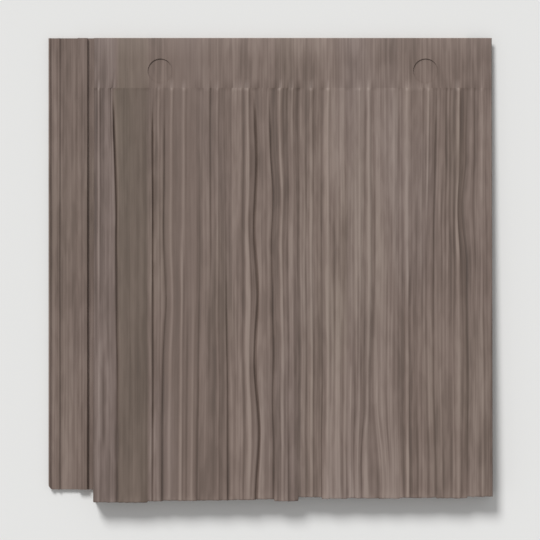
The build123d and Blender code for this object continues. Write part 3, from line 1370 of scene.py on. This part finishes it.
@dataclass(frozen=True)
class StreakedShake:
    """The weathered-wood finish: brown-grey polymer, dark in its furrows and light on its ridges, partly its
    own grain colour and partly painted shade and painted highlight.
    """

    # furrow is the painted shade colour at the low end of the tone ramp, reached in furrows and splits;
    # light, at the high end, is reached on ridges and is partly painted highlight.
    furrow: Triple = (0.076, 0.053, 0.043)
    dark: Triple = (0.114, 0.079, 0.063)
    plain: Triple = (0.173, 0.124, 0.103)
    light: Triple = (0.268, 0.206, 0.175)
    lavender: Triple = (0.95, 1.0, 1.10)
    olive: Triple = (0.93, 1.0, 0.91)
    patch_tint: float = 0.25
    patch_spread: Pair = (0.52, 0.72)
    lavender_patch: Pattern = Pattern(22.0, (1.0, 0.2, 1.0), 1.0, 15.0)
    olive_patch: Pattern = Pattern(22.0, (1.0, 0.2, 1.0), 1.0, 31.0)
    strand_tint: float = 0.45
    tone_span: Pair = (-2.0, 1.5)
    fine: Streaks = Streaks(Pattern(600.0, (1.0, 0.013, 0.25), 2.0, 8.0), (0.36, 0.64), 0.32)
    dashes: Streaks = Streaks(Pattern(270.0, (1.0, 0.16, 0.4), 1.0, 77.0), (0.30, 0.70), 0.22)
    bands: Streaks = Streaks(Pattern(94.0, (1.0, 0.045, 0.4), 1.0, 2.0), (0.28, 0.72), 0.30)
    smudges: Streaks = Streaks(Pattern(22.0, (1.0, 0.45, 1.0), 3.0, 61.0), (0.28, 0.72), 0.31)
    roughness: float = 0.62
    fibres: Pattern = Pattern(1500.0, (1.0, 0.05, 0.3), 3.0, 44.0)
    fibre_bump: float = 0.35
    fibre_height: float = 0.15

    def build(self) -> Material:
        """Builds the material.

        Returns:
            The finish, which reads the lean, tone, tint and calm numbers.
        """
        build = MaterialBuilder("streaked_shake")
        shift = build.node("ShaderNodeCombineXYZ", {"X": build.number(LEAN)}).outputs[0]
        places = {0: build.place, 1: shift}
        along = build.node("ShaderNodeVectorMath", places, operation="SUBTRACT").outputs[0]
        colour = self._ramp(build, self._place_on_ramp(build, along))
        build.dress(self._tinted(build, colour), self.roughness)
        build.bump(build.noise(self.fibres, along), self.fibre_bump, self.fibre_height)
        return build.material

    def _place_on_ramp(self, build: MaterialBuilder, along: Socket) -> Socket:
        """Adds the streaks to the tone kept on the mesh, and fits the sum to the ramp.

        Args:
            build: The material.
            along: Coordinates that follow the grain.

        Returns:
            The place on the ramp, from 0 to 1.
        """
        streaks = 0.0
        for layer in (self.fine, self.dashes, self.bands, self.smudges):
            noise = build.spread(build.noise(layer.pattern, along), layer.spread)
            tones = build.spread(noise, (0.0, 1.0), (-layer.strength, layer.strength))
            streaks = build.maths("ADD", streaks, tones)
        lively = build.maths("SUBTRACT", 1.0, build.number(CALM))
        tone = build.maths("MULTIPLY_ADD", streaks, lively, build.number(TONE))
        low, high = self.tone_span
        return build.node("ShaderNodeMapRange", {"Value": tone, "From Min": low, "From Max": high}).outputs[0]

    def _tinted(self, build: MaterialBuilder, colour: Socket) -> Socket:
        """Tints whole strands and loose patches, some lavender and some olive.

        Args:
            build: The material.
            colour: The untinted colour.

        Returns:
            The tinted colour.
        """
        tint = build.number(TINT)
        sides = ((1.0, self.lavender_patch, self.lavender), (-1.0, self.olive_patch, self.olive))
        for toward, pattern, tinge in sides:
            patch = build.spread(build.noise(pattern), self.patch_spread, (0.0, self.patch_tint))
            settings = {0: tint, 1: toward * self.strand_tint, 2: patch}
            amount = build.node("ShaderNodeMath", settings, operation="MULTIPLY_ADD", use_clamp=True)
            colour = build.mix(amount.outputs[0], colour, tinge, "MULTIPLY")
        return colour

    def _ramp(self, build: MaterialBuilder, place: Socket) -> Socket:
        """Runs from the furrow's painted shade colour through dark and plain to light.

        Args:
            build: The material.
            place: The place on the ramp, from 0 to 1.

        Returns:
            The colour.
        """
        low, high = self.tone_span
        ramp = build.node("ShaderNodeValToRGB", {0: place})
        stops = ((low, self.furrow), (-1.0, self.dark), (0.0, self.plain), (high, self.light))
        while len(ramp.color_ramp.elements) < len(stops):
            ramp.color_ramp.elements.new(0.5)
        for element, (tone, colour) in zip(ramp.color_ramp.elements, stops):
            element.position = (tone - low) / (high - low)
            element.color = (*colour, 1.0)
        return ramp.outputs["Color"]


@dataclass(frozen=True)
class MouldedBack:
    """The smooth polymer of the back, faintly mottled and pitted."""

    plain: Triple = (0.150, 0.114, 0.097)
    mottle: Triple = (0.176, 0.136, 0.116)
    mottling: Pattern = Pattern(22.0, detail=5.0, shift=3.0)
    roughness: float = 0.5
    pits: Pattern = Pattern(1400.0, detail=2.0, shift=5.0)
    pit_bump: float = 0.2
    pit_depth: float = 0.1

    def build(self) -> Material:
        """Builds the material.

        Returns:
            The finish, which reads no numbers from the mesh.
        """
        build = MaterialBuilder("moulded_back")
        build.dress(build.mix(build.noise(self.mottling), self.plain, self.mottle), self.roughness)
        build.bump(build.noise(self.pits), self.pit_bump, self.pit_depth)
        return build.material


@dataclass
class ShingleMoulding:
    """The whole moulding, put together from its blank, its back and its wing."""

    sizes: ShingleSizes
    smooth_angle: float = 0.9

    def build(self) -> MeshObject:
        """Builds, cores out, joins and shades the moulding.

        Returns:
            The finished object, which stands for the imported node.
        """
        comb = CombedGrain()
        face = StreakedShake().build()
        back = MouldedBack().build()
        blank = RivenBlank(self.sizes)
        moulding = blank.build(comb, face, back)
        log.info("riven blank: %d faces", len(moulding.data.polygons))
        deepest = max(strand.set_back for strand in blank.grain.strands)
        RibbedBack(self.sizes, deepest).core_out(moulding, face, back)
        log.info("ribbed back cut: %d faces", len(moulding.data.polygons))
        combine(moulding, SideWing(self.sizes).build(comb, face, back), Operation.JOIN)
        self._shade(moulding)
        return moulding

    def _shade(self, moulding: MeshObject) -> None:
        """Shades the mesh smooth with its hard edges kept, and reports whether it is closed.

        Args:
            moulding: The finished object.
        """
        mesh = moulding.data
        mesh.polygons.foreach_set("use_smooth", np.ones(len(mesh.polygons), bool))
        mesh.set_sharp_from_angle(angle=self.smooth_angle)
        check = bmesh.new()
        check.from_mesh(mesh)
        open_edges = sum(1 for edge in check.edges if not edge.is_manifold)
        triangles = sum(len(polygon.verts) - 2 for polygon in check.faces)
        check.free()
        log.info("side wing joined: %d triangles, %d open edges", triangles, open_edges)


@dataclass
class Studio:
    """Pale floor, soft light from the upper left and a camera square to the face.

    Sizes are in metres, and the camera's sensor is in millimetres.
    """

    sizes: ShingleSizes
    floor_colour: Triple = (0.78, 0.78, 0.77)
    floor_size: float = 4.0
    floor_drop: float = 0.00005
    floor_roughness: float = 0.9
    key_strength: float = 2.7
    key_softness: float = 0.35
    key_from: Triple = (-0.5, 1.1, 1.0)
    sky_colour: Triple = (1.0, 1.0, 1.0)
    sky_strength: float = 0.45
    camera_distance: float = 1.9
    view_width: float = 0.415
    sensor: float = 36.0

    def build(self) -> None:
        """Lays the floor and sets the lights and the camera."""
        self._floor()
        self._light()
        self._camera()

    def _floor(self) -> None:
        """A pale floor under the shingle."""
        half = self.floor_size / 2 / MM
        corners = np.array([[-half, -half, 0], [half, -half, 0], [half, half, 0], [-half, half, 0]])
        corners[:, 2] -= self.floor_drop / MM
        material = bpy.data.materials.new("pale_floor")
        material.use_nodes = True
        shader = material.node_tree.nodes["Principled BSDF"]
        shader.inputs["Base Color"].default_value = (*self.floor_colour, 1.0)
        shader.inputs["Roughness"].default_value = self.floor_roughness
        new_object("floor", corners, [[0, 1, 2, 3]], material)

    def _light(self) -> None:
        """A soft sun from up the slope and the left, and an even sky."""
        key = bpy.data.lights.new("key", "SUN")
        key.energy = self.key_strength
        key.angle = self.key_softness
        lamp = bpy.data.objects.new("key", key)
        toward = np.array(self.key_from) / np.linalg.norm(self.key_from)
        lamp.rotation_euler = (float(np.arccos(toward[2])), 0.0, float(np.arctan2(toward[0], -toward[1])))
        bpy.context.scene.collection.objects.link(lamp)
        world = bpy.data.worlds.new("sky")
        world.use_nodes = True
        background = world.node_tree.nodes["Background"]
        background.inputs["Color"].default_value = (*self.sky_colour, 1.0)
        background.inputs["Strength"].default_value = self.sky_strength
        bpy.context.scene.world = world

    def _camera(self) -> None:
        """A long lens straight above the middle of the shingle, with the butt at the bottom."""
        camera = bpy.data.cameras.new("camera")
        camera.sensor_width = self.sensor
        camera.lens = self.sensor * self.camera_distance / self.view_width
        eye = bpy.data.objects.new("camera", camera)
        middle = (self.sizes.low + self.sizes.high) / 2 * MM
        eye.location = (float(middle[0]), float(middle[1]), self.camera_distance)
        bpy.context.scene.collection.objects.link(eye)
        bpy.context.scene.camera = eye


def main() -> None:
    """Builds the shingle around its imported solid, then the studio."""
    logging.basicConfig(level=logging.INFO, format="%(name)s: %(message)s")
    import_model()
    low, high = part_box(NODE)
    sizes = ShingleSizes(np.array(low) / MM, np.array(high) / MM)
    moulding = ShingleMoulding(sizes).build()
    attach(moulding, BODY)
    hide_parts(NODE)
    Studio(sizes).build()
    bpy.context.scene.view_settings.view_transform = "Standard"


if __name__ == "__main__":
    main()
